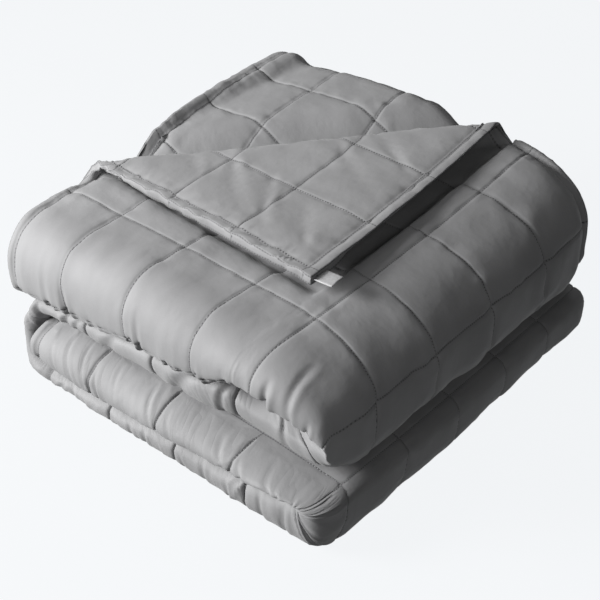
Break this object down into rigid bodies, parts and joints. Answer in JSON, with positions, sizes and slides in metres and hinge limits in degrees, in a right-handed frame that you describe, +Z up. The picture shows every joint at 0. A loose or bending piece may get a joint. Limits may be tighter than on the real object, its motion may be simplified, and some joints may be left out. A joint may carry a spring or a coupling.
{
  "type": "weighted blanket",
  "caption": "Grey quilted weighted blanket with square pockets, folded into a thick stack with one corner turned back over its top.",
  "frame": {"origin": "centre of the footprint, on the surface that the folded blanket rests on", "axes": "+X along the front from the loose ends at the left to the folds at the right, +Y from the front folds to the back, +Z up"},
  "size_m": [0.5261, 0.5084, 0.2572],
  "materials": {
    "blanket": "fine plain-weave cotton in mid grey, softly matt, quilted in squares with thread of the same grey",
    "tab": "blank woven tape, light grey, slightly smoother than the cloth"
  },
  "bodies": {
    "root": {"quilted_blanket": "blanket", "sewn_tab": "tab"}
  },
  "joints": []
}
